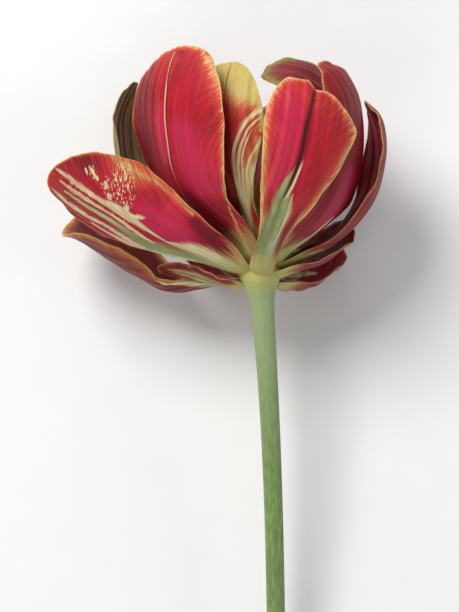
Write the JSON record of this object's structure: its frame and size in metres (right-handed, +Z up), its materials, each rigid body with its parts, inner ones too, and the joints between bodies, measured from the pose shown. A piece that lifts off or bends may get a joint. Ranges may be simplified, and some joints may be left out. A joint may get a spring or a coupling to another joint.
{
  "type": "cut double tulip",
  "caption": "Cut double tulip in full bloom, lying on its side: broad wavy petals round stamens and pistil on a long bare bending stem.",
  "frame": {"origin": "centre of the footprint on the table, at the height of the table", "axes": "+Y from the cut end of the stem towards the bloom, +Z up from the table, +X to the right for a viewer who looks down at the flower with the bloom at the top"},
  "size_m": [0.1156, 0.2598, 0.0938],
  "materials": {
    "petal_crimson": "satin crimson petal with a thin yellow margin",
    "petal_flamed": "satin crimson petal with cream flames along the midrib",
    "petal_orange": "satin orange-red petal with a yellow margin",
    "petal_golden": "satin petal, yellow at the tip and red below",
    "stem_green": "waxy fresh green",
    "pistil_green": "pale green",
    "anther_yellow": "powdery yellow"
  },
  "bodies": {
    "root": {"petal_outer_front": "petal_crimson", "petal_outer_left": "petal_flamed", "petal_outer_right": "petal_crimson", "petal_outer_low_left": "petal_orange", "petal_outer_back_right": "petal_crimson", "petal_outer_back_left": "petal_crimson", "petal_small_curled": "petal_flamed", "petal_middle_front_left": "petal_crimson", "petal_middle_front_right": "petal_crimson", "petal_middle_right": "petal_crimson", "petal_middle_back_right": "petal_crimson", "petal_middle_back_left": "petal_crimson", "petal_middle_left": "petal_golden", "petal_inner_front": "petal_golden", "petal_inner_front_right": "petal_crimson", "petal_inner_right": "petal_golden", "petal_inner_back": "petal_crimson", "petal_inner_left": "petal_crimson", "stem": "stem_green", "pistil": "pistil_green", "stamen_1": "anther_yellow", "stamen_2": "anther_yellow", "stamen_3": "anther_yellow", "stamen_4": "anther_yellow", "stamen_5": "anther_yellow", "stamen_6": "anther_yellow"}
  },
  "joints": []
}
